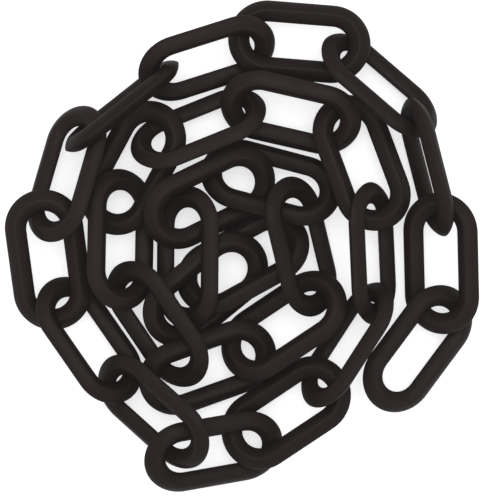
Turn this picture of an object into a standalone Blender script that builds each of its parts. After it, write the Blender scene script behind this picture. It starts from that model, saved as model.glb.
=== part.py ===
"""A length of moulded plastic chain, laid down in a loose spiral that closes inward into a heap.

Every link is one closed oval ring, threaded through the link before it and the link after it.
Sizes and places are in millimetres, and each link is scaled to metres as it is made.
"""

from math import atan2, cos, degrees, pi, radians, sin

import bmesh
import bpy
import numpy as np
from mathutils import Matrix, Vector

MM = 0.001
UP = np.array((0.0, 0.0, 1.0))

# One link, in the plane that it was moulded in
LINK_LENGTH = 53.8
LINK_WIDTH = 29.6
BAR_WIDTH = 7.8
BAR_THICKNESS = 6.4
CREST_WIDTH = 1.6
BOW_STEPS = 10

# Lean at which a link lies flush on one long facet of its lower bar. The bar's cut is turned half
# a corner where the straight side meets the first step of the bow, so it is a little narrower there.
CREST_HALF = CREST_WIDTH / 2
HALF_CORNER = pi / BOW_STEPS / 4
FACET_RUN = (BAR_WIDTH / 2 - CREST_HALF) * cos(HALF_CORNER)
FACET_LEAN = degrees(atan2(BAR_THICKNESS / 2 - CREST_HALF, FACET_RUN))

# Where each link is seen in plan, from the free outer end to the inner end of the spiral.
# Places are in plan steps, counted across from the left and down from the top.
# Heading turns from +X toward +Y, lean raises the left bar and slope raises the front bow, in degrees.
# A link that bridges its neighbours starts with a lift in mm or a slope.
PLAN_STEP = 0.375
PLAN_MIDDLE = (242.0, 248.5)
LINKS = (
    # across, down, heading, lean, lift, slope
    (418.5, 349.5, 53, 20, 0, 0),
    (440.5, 265, 92.5, -22, 2, 0),
    (427.5, 168, 105.5, -77, 0, 0),
    (382, 83, -41, -46, 0, 0),
    (300.5, 42.5, -5, 0, 5, 0),
    (206, 58.5, 20, 36, 0, 0),
    (121.5, 105, 38.5, -78, 0, 0),
    (67.5, 173, 74.5, -36, 0, 0),
    (48.5, 260, 97.5, 0, 5, 0),
    (84.5, 341, -55, -FACET_LEAN, 0, 0),
    (154.5, 413, -43, 31, 0, 8),
    (214.5, 453.5, 6.5, 13, 0, -8),
    (285, 413.5, 35, -13, 0, 8),
    (351.5, 344, 59.5, -50, 0, 0),
    (373, 253, 92.5, 56, 0, 0),
    (361.5, 163, -69.5, -23, 0, 0),
    (291, 112, -12, 31, 0, 0),
    (198, 127, 22.5, -43, 0, 0),
    (134, 168.5, 62, -17, 0, 0),
    (120, 239.5, 90, 35, 0, 0),
    (159, 323, -56, 31, 0, 0),
    (208, 367, 20, 15, 0, 0),
    (284, 327, 34, -25, 0, 5),
    (300, 247, -76, -42, 0, 0),
    (271, 182, -15, -20, 0, 0),
    (211, 199, 27, 10, 4, 0),
    (187, 259, 90, -30, 0, 0),
    (206.5, 287, 38, 0, 4, 0),
    (241.5, 263, 29, -22, 0, 0),
)
FLUSH_LINK = 10

# How far bars stay from each other, measured between stations along them, and from the floor
BAR_CLEARANCE = 0.6
FLOOR_CLEARANCE = 0.06
STATION_REACH = 11.0
BOW_STATIONS = 15
SIDE_STATIONS = 12

# Rounds in which the links give way to each other: how firmly bars part, a link keeps its place in
# plan, and it keeps low. Headings, leans and slopes are held by a share of the hold in plan.
ROUNDS = (
    (1, 0.5, 0.03),
    (4, 0.5, 0.03),
    (20, 1.0, 0.03),
    (60, 1.5, 0.024),
    (200, 2.0, 0.018),
    (300, 2.5, 0.012),
)
HEADING_SHARE = 0.15
LEAN_SHARE = 0.003
SLOPE_SHARE = 0.0005
PASSES = 6
STEPS = 50
MEMORY = 20
LEAST_STEP = 1e-6
LEAST_CURVE = 1e-12
SHARE_OF_FALL = 1e-4

# Black satin polyethylene
PLASTIC_COLOUR = (0.022, 0.018, 0.018, 1.0)
PLASTIC_ROUGHNESS = 0.42
SHARP_EDGE = radians(25)


def clear_scene():
    for obj in list(bpy.data.objects):
        bpy.data.objects.remove(obj, do_unlink=True)


def make_collection(name):
    collection = bpy.data.collections.new(name)
    bpy.context.scene.collection.children.link(collection)
    return collection


def plastic_material():
    material = bpy.data.materials.new("black_plastic")
    material.use_nodes = True
    shader = material.node_tree.nodes["Principled BSDF"]
    shader.inputs["Base Color"].default_value = PLASTIC_COLOUR
    shader.inputs["Roughness"].default_value = PLASTIC_ROUGHNESS
    shader.inputs["Metallic"].default_value = 0.0
    return material


def loop_curve(name, points):
    """A closed curve through flat points, made of straight steps."""
    curve = bpy.data.curves.new(name, "CURVE")
    curve.dimensions = "3D"
    spline = curve.splines.new("POLY")
    spline.points.add(len(points) - 1)
    for point, (x, y) in zip(spline.points, points):
        point.co = (x * MM, y * MM, 0.0, 1.0)
    spline.use_cyclic_u = True
    return curve


def bar_section():
    """The bar's cut: a rhombus with its corners cut off, so each crest is a narrow flat land."""
    half_width = BAR_WIDTH / 2
    half_thickness = BAR_THICKNESS / 2
    right = [(half_width, CREST_HALF), (CREST_HALF, half_thickness)]
    left = [(-x, y) for x, y in reversed(right)]
    lower = [(-x, -y) for x, y in right + left]
    return right + left + lower


def link_path():
    """The bar's centre line: two straight sides and two half-round bows."""
    side = (LINK_LENGTH - LINK_WIDTH) / 2
    radius = (LINK_WIDTH - BAR_WIDTH) / 2
    points = []
    for centre, first_turn in ((side, -pi / 2), (-side, pi / 2)):
        for step in range(BOW_STEPS + 1):
            turn = first_turn + pi * step / BOW_STEPS
            points.append((centre + radius * cos(turn), radius * sin(turn)))
    return points


def add_guide(name, curve, guides):
    guide = bpy.data.objects.new(name, curve)
    guide.hide_render = True
    guide.display_type = "WIRE"
    guides.objects.link(guide)
    return guide


def link_mesh(guides, material):
    """One link as a mesh about its own centre, long along X and flat in the XY plane."""
    section = add_guide("bar_section", loop_curve("bar_section", bar_section()), guides)
    path = loop_curve("link_path", link_path())
    path.bevel_mode = "OBJECT"
    path.bevel_object = section
    sweep = add_guide("link_path", path, guides)

    depsgraph = bpy.context.evaluated_depsgraph_get()
    mesh = bpy.data.meshes.new_from_object(sweep.evaluated_get(depsgraph))
    mesh.name = "chain_link"
    form = bmesh.new()
    form.from_mesh(mesh)
    bmesh.ops.recalc_face_normals(form, faces=form.faces)
    form.to_mesh(mesh)
    form.free()
    mesh.materials.clear()
    mesh.materials.append(material)
    mesh.shade_smooth()
    mesh.set_sharp_from_angle(angle=SHARP_EDGE)
    return mesh


def bar_stations():
    """Points along the bar's centre line, and at each the direction that points out of the ring."""
    side = (LINK_LENGTH - LINK_WIDTH) / 2
    radius = (LINK_WIDTH - BAR_WIDTH) / 2
    turn = np.arange(BOW_STATIONS + 1) * pi / BOW_STATIONS - pi / 2
    bow_out = np.stack([np.cos(turn), np.sin(turn), 0 * turn], 1)
    bow = radius * bow_out + (side, 0, 0)
    run = np.linspace(side, -side, SIDE_STATIONS + 1)[1:-1, None] * (1, 0, 0)
    half = np.concatenate([bow, run + (0, radius, 0)])
    half_out = np.concatenate([bow_out, 0 * run + (0, 1, 0)])
    half_turn = (-1, -1, 1)
    return np.concatenate([half, half * half_turn]), np.concatenate([half_out, half_out * half_turn])


def attitudes(pose):
    """Each link's turn as a matrix, and the axes that its heading, lean and slope turn it about."""
    heading, lean, slope = np.radians(pose[:, 3:]).T
    zero = 0 * heading
    one = zero + 1
    head = np.array([[np.cos(heading), -np.sin(heading), zero], [np.sin(heading), np.cos(heading), zero],
                     [zero, zero, one]])
    rise = np.array([[np.cos(slope), zero, -np.sin(slope)], [zero, one, zero],
                     [np.sin(slope), zero, np.cos(slope)]])
    tip = np.array([[one, zero, zero], [zero, np.cos(lean), -np.sin(lean)],
                    [zero, np.sin(lean), np.cos(lean)]])
    head, rise, tip = (np.moveaxis(turn, 2, 0) for turn in (head, rise, tip))
    axes = np.stack([0 * head[:, 0] + UP, (head @ rise)[:, :, 0], -head[:, :, 1]], 1)
    return head @ rise @ tip, axes


def reach(line, out, normal):
    """How far the bar's section reaches along a line, and the corner of the section that gets there."""
    out_share = (line * out).sum(-1)[..., None]
    normal_share = (line * normal).sum(-1)[..., None]
    by_side = abs(out_share) * BAR_WIDTH / 2 + abs(normal_share) * CREST_HALF
    by_top = abs(out_share) * CREST_HALF + abs(normal_share) * BAR_THICKNESS / 2
    on_side = by_side > by_top
    corner = np.where(on_side, BAR_WIDTH / 2, CREST_HALF) * np.sign(out_share) * out
    corner = corner + np.where(on_side, CREST_HALF, BAR_THICKNESS / 2) * np.sign(normal_share) * normal
    return np.maximum(by_side, by_top)[..., 0], corner


def near_stations(pose, stations):
    """Pairs of stations, on different links, that lie within reach of each other."""
    places = np.einsum("nij,sj->nsi", attitudes(pose)[0], stations) + pose[:, None, :3]
    found = []
    for first in range(len(pose)):
        for second in range(first + 1, len(pose)):
            if np.linalg.norm(pose[first, :3] - pose[second, :3]) < LINK_LENGTH + STATION_REACH:
                gaps = np.linalg.norm(places[first][:, None] - places[second][None], axis=2)
                one, two = np.where(gaps < STATION_REACH)
                found.append(np.stack([0 * one + first, one, 0 * two + second, two]))
    return np.concatenate(found, 1)


def crowding(pose, seen, bars, near, stiffness, hold):
    """The cost of a lay, and how it changes with each link's place and angles.

    Bars nearer than their clearance cost most, then bars under the floor and links off their seen place.
    """
    stations, outs = bars
    turn, axes = attitudes(pose)
    arms = np.einsum("nij,sj->nsi", turn, stations)
    out = np.einsum("nij,sj->nsi", turn, outs)
    normal = turn[:, :, 2]
    places = arms + pose[:, None, :3]
    push = np.zeros((len(pose), 3))
    twist = np.zeros((len(pose), 3))

    # bars that stand too near each other push the two links apart
    distance = np.linalg.norm(places[near[0], near[1]] - places[near[2], near[3]], axis=1)
    close = distance < BAR_WIDTH + CREST_HALF + BAR_CLEARANCE
    one, one_station, two, two_station = near[:, close]
    distance = distance[close, None]
    line = (places[one, one_station] - places[two, two_station]) / distance
    one_reach, one_corner = reach(line, out[one, one_station], normal[one])
    two_reach, two_corner = reach(line, out[two, two_station], normal[two])
    short = np.maximum(BAR_CLEARANCE - distance[:, 0] + one_reach + two_reach, 0)[:, None]
    cost = stiffness * (short ** 2).sum()
    force = -2 * stiffness * short
    corners = one_corner + two_corner
    pull = force * (line - (corners - (corners * line).sum(1)[:, None] * line) / distance)
    np.add.at(push, one, pull)
    np.add.at(push, two, -pull)
    np.add.at(twist, one, np.cross(arms[one, one_station], pull) - force * np.cross(one_corner, line))
    np.add.at(twist, two, -np.cross(arms[two, two_station], pull) - force * np.cross(two_corner, line))

    # the floor holds up what would sink into it
    low_reach, low_corner = reach(UP, out, normal[:, None])
    under = np.maximum(FLOOR_CLEARANCE - places[:, :, 2] + low_reach, 0)
    cost += stiffness * (under ** 2).sum()
    lift = -2 * stiffness * under[:, :, None] * UP
    push += lift.sum(1)
    twist += np.cross(arms - low_corner, lift).sum(1)

    # each link keeps its seen place, heading and width
    slack = pose - seen
    cost += (hold * slack ** 2).sum()
    change = 2 * hold * slack
    change[:, :3] += push
    change[:, 3:] += np.einsum("nai,ni->na", axes, twist) * pi / 180
    for column, span in ((4, LINK_WIDTH - BAR_WIDTH), (5, LINK_LENGTH - BAR_WIDTH)):
        angle = np.radians(pose[:, column])
        narrowed = span * (np.cos(angle) - np.cos(np.radians(seen[:, column])))
        cost += hold[0] * (narrowed ** 2).sum()
        change[:, column] -= 2 * hold[0] * narrowed * span * np.sin(angle) * pi / 180
    return cost, change


def descend(cost_of, place):
    """Walk down a cost by limited-memory BFGS, and halve each step until it pays."""
    cost, change = cost_of(place)
    moves = []
    for _ in range(STEPS):
        way = change.copy()
        shares = []
        for move, turn in reversed(moves):
            shares.append((move @ way) / (move @ turn))
            way -= shares[-1] * turn
        if moves:
            move, turn = moves[-1]
            way *= (move @ turn) / (turn @ turn)
        else:
            way /= max(1.0, np.abs(way).max())
        for (move, turn), share in zip(moves, reversed(shares)):
            way += (share - (turn @ way) / (move @ turn)) * move
        fall = change @ way
        step = 1.0
        new_cost, new_change = cost_of(place - way)
        while new_cost > cost - SHARE_OF_FALL * step * fall and step > LEAST_STEP:
            step /= 2
            new_cost, new_change = cost_of(place - step * way)
        if step <= LEAST_STEP:
            break
        move, turn = -step * way, new_change - change
        if move @ turn > LEAST_CURVE:
            moves = (moves + [(move, turn)])[-MEMORY:]
        place, cost, change = place + move, new_cost, new_change
    return place


def lay_chain():
    """Where every link's centre comes to lie, with its heading, lean and slope.

    The links start as the plan shows them and give way to each other until all bars are clear.
    """
    bars = bar_stations()
    table = np.array(LINKS, float)
    seen = np.zeros((len(table), 6))
    seen[:, 0] = (table[:, 0] - PLAN_MIDDLE[0]) * PLAN_STEP
    seen[:, 1] = (PLAN_MIDDLE[1] - table[:, 1]) * PLAN_STEP
    seen[:, 3:5] = table[:, 2:4]
    pose = seen.copy()
    pose[:, 5] = table[:, 5]
    turn = attitudes(pose)[0]
    heights = np.einsum("nj,sj->ns", turn[:, 2], bars[0])
    low_reach = reach(UP, np.einsum("nij,sj->nsi", turn, bars[1]), turn[:, None, :, 2])[0]
    pose[:, 2] = table[:, 4] - (heights - low_reach).min(1)

    # the flush link lies on the floor, and moves only in plan
    free = np.ones(pose.shape, bool)
    free[FLUSH_LINK - 1, [2, 4, 5]] = False
    for stiffness, place_hold, height_hold in ROUNDS:
        hold = np.array([place_hold, place_hold, height_hold, place_hold * HEADING_SHARE,
                         place_hold * LEAN_SHARE, place_hold * SLOPE_SHARE])
        for _ in range(PASSES):
            near = near_stations(pose, bars[0])

            def cost_of(values):
                trial = pose.copy()
                trial[free] = values
                cost, change = crowding(trial, seen, bars, near, stiffness, hold)
                return cost, change[free]

            pose[free] = descend(cost_of, pose[free])
    return pose


def place_link(number, mesh, pose, turn, heap):
    link = bpy.data.objects.new(f"link_{number:02d}", mesh)
    link.rotation_euler = Matrix(turn).to_euler()
    link.location = Vector(pose[:3]) * MM
    heap.objects.link(link)
    return link


def centre_heap(links):
    """Move the heap so that its outer box is centred on the origin and its lowest point is on the floor."""
    bpy.context.view_layer.update()
    corners = [link.matrix_world @ vertex.co for link in links for vertex in link.data.vertices]
    middle_x = (min(c.x for c in corners) + max(c.x for c in corners)) / 2
    middle_y = (min(c.y for c in corners) + max(c.y for c in corners)) / 2
    for link in links:
        link.location -= Vector((middle_x, middle_y, min(c.z for c in corners)))


def main():
    clear_scene()
    heap = make_collection("heap_of_plastic_chain")
    guides = make_collection("guides")
    mesh = link_mesh(guides, plastic_material())
    poses = lay_chain()
    links = [place_link(number, mesh, pose, turn, heap)
             for number, (pose, turn) in enumerate(zip(poses, attitudes(poses)[0]), start=1)]
    centre_heap(links)


main()
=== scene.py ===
"""A short length of black moulded plastic chain, heaped in a loose spiral on a pale floor, seen from above."""

import bpy
import numpy as np
from mathutils import Matrix, Vector


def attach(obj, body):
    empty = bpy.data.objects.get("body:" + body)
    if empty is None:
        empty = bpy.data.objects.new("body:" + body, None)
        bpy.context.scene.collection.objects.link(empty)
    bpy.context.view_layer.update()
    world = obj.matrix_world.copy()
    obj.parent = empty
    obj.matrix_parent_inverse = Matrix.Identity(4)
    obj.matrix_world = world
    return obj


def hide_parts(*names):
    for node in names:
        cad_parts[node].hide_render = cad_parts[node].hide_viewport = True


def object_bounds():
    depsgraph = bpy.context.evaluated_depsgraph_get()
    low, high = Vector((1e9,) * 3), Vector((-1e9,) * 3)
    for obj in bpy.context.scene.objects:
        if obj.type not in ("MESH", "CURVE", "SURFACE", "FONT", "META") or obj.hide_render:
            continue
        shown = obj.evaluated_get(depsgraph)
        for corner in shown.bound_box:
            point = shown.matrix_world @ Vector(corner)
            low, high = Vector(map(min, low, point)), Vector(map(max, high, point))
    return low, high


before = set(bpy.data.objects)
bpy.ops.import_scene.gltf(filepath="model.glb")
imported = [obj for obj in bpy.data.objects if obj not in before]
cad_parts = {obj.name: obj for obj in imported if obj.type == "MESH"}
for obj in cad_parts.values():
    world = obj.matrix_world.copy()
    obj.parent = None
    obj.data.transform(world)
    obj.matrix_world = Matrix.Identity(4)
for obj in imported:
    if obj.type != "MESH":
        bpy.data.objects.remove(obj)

CAD_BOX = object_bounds()

MM = 0.001

# One moulded link: its bar as full as the photo's, its outside 0.1 to 0.2 mm within the CAD solid's
LINK_LENGTH = 53.6 * MM
LINK_WIDTH = 29.5 * MM
BAR_WIDTH = 8.1 * MM
BAR_THICKNESS = 6.4 * MM

# How the bar's four facets swell and how soft its four crests are
FACET_HOLLOW = 0.23
CREST_SOFTNESS = 0.04
STEPS_AROUND_BAR = 28
STEPS_ALONG_BAR = 100

# Camera and floor
LENS = 180.0
SENSOR = 36.0
VIEW_WIDTH = 187.5 * MM
VIEW_LEVEL = 12.0 * MM
VIEW_OFFSET = (2.9 * MM, -1.35 * MM)
FLOOR_SIZE = 6.0

PLASTIC_COLOUR = (0.0150, 0.0089, 0.0087, 1.0)
# the next colour is a painted highlight, mixed in along the crests
CREST_HIGHLIGHT_COLOUR = (0.0255, 0.0180, 0.0176, 1.0)
DUSTY_COLOUR = (0.0300, 0.0225, 0.0220, 1.0)
FLOOR_COLOUR = (0.8, 0.8, 0.8, 1.0)
FLOOR_GLOW = 0.6
SKY_STRENGTH = 0.75
SOFTBOX_POWER = 5.5
LENS_GLARE = 0.0055


# Node trees

def add_sockets(tree, in_out, sockets):
    for name, kind, value in sockets:
        socket = tree.interface.new_socket(name, in_out=in_out, socket_type=kind)
        if value is not None:
            socket.default_value = value


def add_node(tree, kind, values=(), **settings):
    """A node with its settings, and numbers or links for its inputs by name or number."""
    node = tree.nodes.new(kind)
    for name, value in settings.items():
        setattr(node, name, value)
    for key, value in dict(values).items():
        if isinstance(value, bpy.types.NodeSocket):
            tree.links.new(value, node.inputs[key])
        else:
            node.inputs[key].default_value = value
    return node


def maths(tree, operation, *values):
    return add_node(tree, "ShaderNodeMath", dict(enumerate(values)), operation=operation).outputs[0]


def swell(tree, across, half_size, hollow, softness):
    """One coordinate of the bar's section: a circle's coordinate, pulled in between soft crests."""
    square = maths(tree, "MULTIPLY", across, across)
    raised = maths(tree, "ADD", square, softness)
    full = maths(tree, "ADD", softness, 1.0)
    share = maths(tree, "DIVIDE", raised, full)
    pull = maths(tree, "POWER", share, hollow)
    pulled = maths(tree, "MULTIPLY", across, pull)
    return maths(tree, "MULTIPLY", pulled, half_size)


def chain_tree():
    """Geometry nodes that sweep one link and set a copy of it on every point, turned as the point says."""
    tree = bpy.data.node_groups.new("laid_chain", "GeometryNodeTree")
    add_sockets(tree, "INPUT", (
        ("Link Places", "NodeSocketGeometry", None),
        ("Link Length", "NodeSocketFloat", LINK_LENGTH),
        ("Link Width", "NodeSocketFloat", LINK_WIDTH),
        ("Bar Width", "NodeSocketFloat", BAR_WIDTH),
        ("Bar Thickness", "NodeSocketFloat", BAR_THICKNESS),
        ("Facet Hollow", "NodeSocketFloat", FACET_HOLLOW),
        ("Crest Softness", "NodeSocketFloat", CREST_SOFTNESS),
        ("Steps Around Bar", "NodeSocketInt", STEPS_AROUND_BAR),
        ("Steps Along Bar", "NodeSocketInt", STEPS_ALONG_BAR),
        ("Plastic", "NodeSocketMaterial", None),
    ))
    add_sockets(tree, "OUTPUT", (("Chain", "NodeSocketGeometry", None),))
    given = add_node(tree, "NodeGroupInput").outputs

    # the bar's centre line: a rectangle whose short ends are rounded to half circles
    long_side = maths(tree, "SUBTRACT", given["Link Length"], given["Bar Width"])
    short_side = maths(tree, "SUBTRACT", given["Link Width"], given["Bar Width"])
    bow_radius = maths(tree, "MULTIPLY", short_side, 0.5)
    outline = add_node(tree, "GeometryNodeCurvePrimitiveQuadrilateral",
                       {"Width": long_side, "Height": short_side}, mode="RECTANGLE")
    rounded = add_node(tree, "GeometryNodeFilletCurve",
                       {"Curve": outline.outputs[0], "Radius": bow_radius, "Count": 24, "Limit Radius": True},
                       mode="POLY")
    path = add_node(tree, "GeometryNodeResampleCurve",
                    {"Curve": rounded.outputs[0], "Count": given["Steps Along Bar"]}, mode="COUNT")
    upright = add_node(tree, "GeometryNodeSetCurveNormal", {"Curve": path.outputs[0]}, mode="Z_UP")

    # the bar's section: a circle drawn in to a rhombus with four soft crests
    circle = add_node(tree, "GeometryNodeCurvePrimitiveCircle",
                      {"Resolution": given["Steps Around Bar"], "Radius": 1.0}, mode="RADIUS")
    place = add_node(tree, "GeometryNodeInputPosition").outputs[0]
    round_place = add_node(tree, "ShaderNodeSeparateXYZ", {0: place}).outputs
    half_width = maths(tree, "MULTIPLY", given["Bar Width"], 0.5)
    half_thickness = maths(tree, "MULTIPLY", given["Bar Thickness"], 0.5)
    across = swell(tree, round_place["X"], half_width, given["Facet Hollow"], given["Crest Softness"])
    up = swell(tree, round_place["Y"], half_thickness, given["Facet Hollow"], given["Crest Softness"])
    section_place = add_node(tree, "ShaderNodeCombineXYZ", {"X": across, "Y": up}).outputs[0]

    # how near a point is to one of the four crests, kept for the material
    least = maths(tree, "MINIMUM",
                  maths(tree, "ABSOLUTE", round_place["X"]),
                  maths(tree, "ABSOLUTE", round_place["Y"]))
    nearness = maths(tree, "SUBTRACT", 1.0, maths(tree, "MULTIPLY", least, 2.0))
    marked = add_node(tree, "GeometryNodeStoreNamedAttribute",
                      {"Geometry": circle.outputs[0], "Name": "crest", "Value": nearness},
                      data_type="FLOAT", domain="POINT")
    section = add_node(tree, "GeometryNodeSetPosition",
                       {"Geometry": marked.outputs[0], "Position": section_place})

    link = add_node(tree, "GeometryNodeCurveToMesh",
                    {"Curve": upright.outputs[0], "Profile Curve": section.outputs[0]})
    turn = add_node(tree, "GeometryNodeInputNamedAttribute", {"Name": "link_turn"}, data_type="FLOAT_VECTOR")
    turned = add_node(tree, "FunctionNodeEulerToRotation", {0: turn.outputs[0]})
    copies = add_node(tree, "GeometryNodeInstanceOnPoints",
                      {"Points": given["Link Places"], "Instance": link.outputs[0],
                       "Rotation": turned.outputs[0]})
    real = add_node(tree, "GeometryNodeRealizeInstances", {"Geometry": copies.outputs[0]})
    smooth = add_node(tree, "GeometryNodeSetShadeSmooth", {"Geometry": real.outputs[0]})
    finished = add_node(tree, "GeometryNodeSetMaterial",
                        {"Geometry": smooth.outputs[0], "Material": given["Plastic"]})
    add_node(tree, "NodeGroupOutput", {"Chain": finished.outputs[0]})
    return tree


# Materials

def mould_grain_group():
    """Fine roughness that the mould leaves, stronger in patches."""
    tree = bpy.data.node_groups.new("mould_grain", "ShaderNodeTree")
    add_sockets(tree, "INPUT", (
        ("Place", "NodeSocketVector", None),
        ("Grain Per Metre", "NodeSocketFloat", 1800.0),
        ("Patches Per Metre", "NodeSocketFloat", 45.0),
    ))
    add_sockets(tree, "OUTPUT", (("Height", "NodeSocketFloat", None), ("Patches", "NodeSocketFloat", None)))
    given = add_node(tree, "NodeGroupInput").outputs
    grain = add_node(tree, "ShaderNodeTexNoise",
                     {"Vector": given["Place"], "Scale": given["Grain Per Metre"],
                      "Detail": 3.0, "Roughness": 0.6})
    patches = add_node(tree, "ShaderNodeTexNoise",
                       {"Vector": given["Place"], "Scale": given["Patches Per Metre"], "Detail": 2.0})
    mask = add_node(tree, "ShaderNodeMapRange",
                    {"Value": patches.outputs["Fac"], "From Min": 0.42, "From Max": 0.66,
                     "To Min": 0.25, "To Max": 1.0},
                    interpolation_type="SMOOTHSTEP")
    height = maths(tree, "MULTIPLY", grain.outputs["Fac"], mask.outputs[0])
    add_node(tree, "NodeGroupOutput", {"Height": height, "Patches": mask.outputs[0]})
    return tree


def crest_highlight_group():
    """Painted highlight along the crests: a lighter colour, broken up by noise."""
    tree = bpy.data.node_groups.new("painted_crest_highlight", "ShaderNodeTree")
    add_sockets(tree, "INPUT", (
        ("Place", "NodeSocketVector", None),
        ("Crest", "NodeSocketFloat", 0.0),
        ("Breaks Per Metre", "NodeSocketFloat", 260.0),
    ))
    add_sockets(tree, "OUTPUT", (("Painted Highlight", "NodeSocketFloat", None),))
    given = add_node(tree, "NodeGroupInput").outputs
    breaks = add_node(tree, "ShaderNodeTexNoise",
                     {"Vector": given["Place"], "Scale": given["Breaks Per Metre"],
                      "Detail": 4.0, "Roughness": 0.65})
    broken = add_node(tree, "ShaderNodeMapRange",
                      {"Value": breaks.outputs["Fac"], "From Min": 0.3, "From Max": 0.7, "To Min": 0.25})
    ridge = add_node(tree, "ShaderNodeMapRange",
                     {"Value": given["Crest"], "From Min": 0.45, "From Max": 1.0},
                     interpolation_type="SMOOTHSTEP")
    painted_highlight = maths(tree, "MULTIPLY", broken.outputs[0], ridge.outputs[0])
    add_node(tree, "NodeGroupOutput", {"Painted Highlight": painted_highlight})
    return tree


def low_dust_group():
    """Specks of dust and scuffs, which are thickest on the bars that lie near the floor."""
    tree = bpy.data.node_groups.new("low_dust", "ShaderNodeTree")
    add_sockets(tree, "INPUT", (
        ("Place", "NodeSocketVector", None),
        ("Clean Above", "NodeSocketFloat", 13.0 * MM),
        ("Dusty Below", "NodeSocketFloat", 5.0 * MM),
        ("Specks Per Metre", "NodeSocketFloat", 750.0),
        ("Smears Per Metre", "NodeSocketFloat", 130.0),
    ))
    add_sockets(tree, "OUTPUT", (("Dust", "NodeSocketFloat", None),))
    given = add_node(tree, "NodeGroupInput").outputs
    height = add_node(tree, "ShaderNodeSeparateXYZ", {0: given["Place"]}).outputs["Z"]
    lowness = add_node(tree, "ShaderNodeMapRange",
                       {"Value": height, "From Min": given["Clean Above"], "From Max": given["Dusty Below"],
                        "To Min": 0.12, "To Max": 1.0}, interpolation_type="SMOOTHSTEP")
    specks = add_node(tree, "ShaderNodeTexNoise",
                      {"Vector": given["Place"], "Scale": given["Specks Per Metre"],
                       "Detail": 4.0, "Roughness": 0.7})
    sharp_specks = add_node(tree, "ShaderNodeMapRange",
                            {"Value": specks.outputs["Fac"], "From Min": 0.42, "From Max": 0.72})
    smears = add_node(tree, "ShaderNodeTexNoise",
                      {"Vector": given["Place"], "Scale": given["Smears Per Metre"],
                       "Detail": 3.0, "Distortion": 0.8})
    patchy = add_node(tree, "ShaderNodeMapRange",
                      {"Value": smears.outputs["Fac"], "From Min": 0.38, "From Max": 0.66},
                      interpolation_type="SMOOTHSTEP")
    speckled = maths(tree, "MULTIPLY", sharp_specks.outputs[0], patchy.outputs[0])
    dust = maths(tree, "MULTIPLY", speckled, lowness.outputs[0])
    add_node(tree, "NodeGroupOutput", {"Dust": dust})
    return tree


def plastic_material():
    """Black satin plastic with mould grain, a painted highlight along the crests, dust low down and a tone
    that varies by link.
    """
    material = bpy.data.materials.new("black_plastic_satin")
    material.use_nodes = True
    tree = material.node_tree
    shader = tree.nodes["Principled BSDF"]
    place = add_node(tree, "ShaderNodeTexCoord").outputs["Object"]
    crest = add_node(tree, "ShaderNodeAttribute", attribute_name="crest").outputs["Fac"]
    tone = add_node(tree, "ShaderNodeAttribute", attribute_name="link_tone").outputs["Fac"]
    grain = add_node(tree, "ShaderNodeGroup", node_tree=mould_grain_group())
    tree.links.new(place, grain.inputs["Place"])
    painted_highlight = add_node(tree, "ShaderNodeGroup", node_tree=crest_highlight_group())
    tree.links.new(place, painted_highlight.inputs["Place"])
    tree.links.new(crest, painted_highlight.inputs["Crest"])

    # painted highlight: the plastic colour lightened along the crests
    base = add_node(tree, "ShaderNodeMix", data_type="RGBA")
    base.inputs["A"].default_value = PLASTIC_COLOUR
    base.inputs["B"].default_value = CREST_HIGHLIGHT_COLOUR
    painted_highlight_share = maths(tree, "MULTIPLY", painted_highlight.outputs["Painted Highlight"], 0.6)
    tree.links.new(painted_highlight_share, base.inputs["Factor"])
    dust = add_node(tree, "ShaderNodeGroup", node_tree=low_dust_group())
    tree.links.new(place, dust.inputs["Place"])
    dusty = add_node(tree, "ShaderNodeMix", data_type="RGBA")
    tree.links.new(dust.outputs["Dust"], dusty.inputs["Factor"])
    tree.links.new(base.outputs["Result"], dusty.inputs["A"])
    dusty.inputs["B"].default_value = DUSTY_COLOUR
    toned = add_node(tree, "ShaderNodeHueSaturation")
    tree.links.new(dusty.outputs["Result"], toned.inputs["Color"])
    tone_value = add_node(tree, "ShaderNodeMapRange",
                          {"Value": tone, "To Min": 0.85, "To Max": 1.15}).outputs[0]
    tree.links.new(tone_value, toned.inputs["Value"])
    tree.links.new(toned.outputs["Color"], shader.inputs["Base Color"])

    roughness = add_node(tree, "ShaderNodeMapRange",
                         {"Value": grain.outputs["Patches"], "To Min": 0.38, "To Max": 0.5}).outputs[0]
    tree.links.new(roughness, shader.inputs["Roughness"])
    bump = add_node(tree, "ShaderNodeBump",
                    {"Height": grain.outputs["Height"], "Strength": 0.35, "Distance": 0.1 * MM})
    tree.links.new(bump.outputs["Normal"], shader.inputs["Normal"])
    shader.inputs["Specular IOR Level"].default_value = 0.1
    return material


def floor_material():
    material = bpy.data.materials.new("pale_floor")
    material.use_nodes = True
    shader = material.node_tree.nodes["Principled BSDF"]
    shader.inputs["Base Color"].default_value = FLOOR_COLOUR
    shader.inputs["Roughness"].default_value = 0.9
    shader.inputs["Specular IOR Level"].default_value = 0.1
    seen = add_node(material.node_tree, "ShaderNodeLightPath").outputs["Is Camera Ray"]
    material.node_tree.links.new(seen, shader.inputs["Emission Color"])
    shader.inputs["Emission Strength"].default_value = FLOOR_GLOW
    return material


# The chain

def link_pose(node):
    """A CAD link's centre and turn, read from how its vertices spread: length, then width, then thickness."""
    points = np.array([vertex.co for vertex in node.data.vertices], float)
    centre = points.mean(0)
    spread, axes = np.linalg.eigh(np.cov((points - centre).T))
    along, across, out = axes[:, 2], axes[:, 1], axes[:, 0]
    if out[2] < 0:
        out = -out
    if along[0] < 0:
        along = -along
    across = np.cross(out, along)
    return Vector(centre), Matrix([along, across, out]).transposed()


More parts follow.
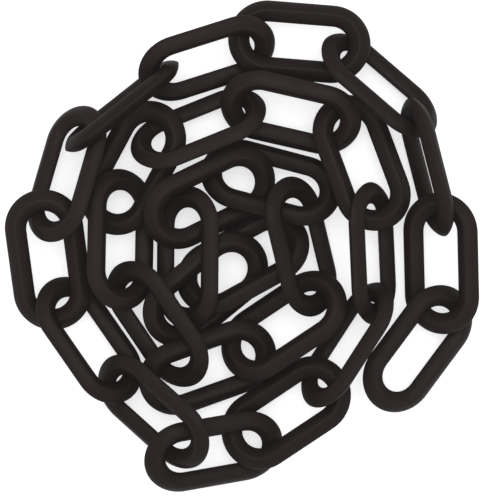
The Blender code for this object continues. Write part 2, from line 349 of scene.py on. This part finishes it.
def make_chain(names, material):
    places = bpy.data.meshes.new("link_places")
    poses = [link_pose(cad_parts[name]) for name in names]
    places.from_pydata([centre for centre, turn in poses], [], [])
    places.attributes.new("link_turn", "FLOAT_VECTOR", "POINT")
    places.attributes.new("link_tone", "FLOAT", "POINT")
    draw = np.random.default_rng(7)
    for number, (centre, turn) in enumerate(poses):
        places.attributes["link_turn"].data[number].vector = turn.to_euler()
        places.attributes["link_tone"].data[number].value = draw.random()
    source = bpy.data.objects.new("link_places", places)
    bpy.context.scene.collection.objects.link(source)
    modifier = source.modifiers.new("chain", "NODES")
    modifier.node_group = chain_tree()
    identifiers = {item.name: item.identifier for item in modifier.node_group.interface.items_tree
                   if item.in_out == "INPUT"}
    modifier[identifiers["Plastic"]] = material
    depsgraph = bpy.context.evaluated_depsgraph_get()
    mesh = bpy.data.meshes.new_from_object(source.evaluated_get(depsgraph))
    mesh.name = "chain"
    mesh.materials.clear()
    mesh.materials.append(material)
    bpy.data.objects.remove(source)
    chain = bpy.data.objects.new("chain", mesh)
    bpy.context.scene.collection.objects.link(chain)
    return chain


# Floor, lights and camera

def make_floor(material):
    mesh = bpy.data.meshes.new("floor")
    half = FLOOR_SIZE / 2
    corners = [(-half, -half, 0), (half, -half, 0), (half, half, 0), (-half, half, 0)]
    mesh.from_pydata(corners, [], [(0, 1, 2, 3)])
    mesh.materials.append(material)
    floor = bpy.data.objects.new("floor", mesh)
    bpy.context.scene.collection.objects.link(floor)
    floor.location.z = CAD_BOX[0].z - 0.05 * MM
    return floor


def add_softbox(name, place, size, power):
    """A square lamp that faces the heap."""
    light = bpy.data.lights.new(name, "AREA")
    light.shape = "SQUARE"
    light.size = size
    light.energy = power
    lamp = bpy.data.objects.new(name, light)
    lamp.location = place
    lamp.rotation_euler = (-Vector(place)).to_track_quat("-Z", "Y").to_euler()
    bpy.context.scene.collection.objects.link(lamp)
    return lamp


def add_world():
    world = bpy.data.worlds.new("studio")
    world.use_nodes = True
    back = world.node_tree.nodes["Background"]
    back.inputs["Color"].default_value = (1.0, 1.0, 1.0, 1.0)
    back.inputs["Strength"].default_value = SKY_STRENGTH
    bpy.context.scene.world = world


def add_camera():
    """Straight above the heap, with the top of the picture toward +Y."""
    camera = bpy.data.cameras.new("camera")
    camera.lens = LENS
    camera.sensor_width = SENSOR
    distance = VIEW_WIDTH / SENSOR * LENS
    holder = bpy.data.objects.new("camera", camera)
    middle = (CAD_BOX[0] + CAD_BOX[1]) / 2
    holder.location = (middle.x + VIEW_OFFSET[0], middle.y + VIEW_OFFSET[1], VIEW_LEVEL + distance)
    camera.clip_start = 0.05
    camera.clip_end = 20.0
    bpy.context.scene.collection.objects.link(holder)
    bpy.context.scene.camera = holder


def set_picture_tone():
    """Plain tones, with the faint veil that a lens gives dark things in front of a white ground."""
    view = bpy.context.scene.view_settings
    view.view_transform = "Standard"
    view.use_curve_mapping = True
    view.curve_mapping.black_level = (-LENS_GLARE, -LENS_GLARE, -LENS_GLARE)
    view.curve_mapping.update()


link_names = sorted(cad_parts)
chain = make_chain(link_names, plastic_material())
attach(chain, "root")
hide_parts(*link_names)

make_floor(floor_material())
add_softbox("overhead_softbox", (0.05, 0.2, 1.4), 0.9, SOFTBOX_POWER)
add_world()
add_camera()
set_picture_tone()
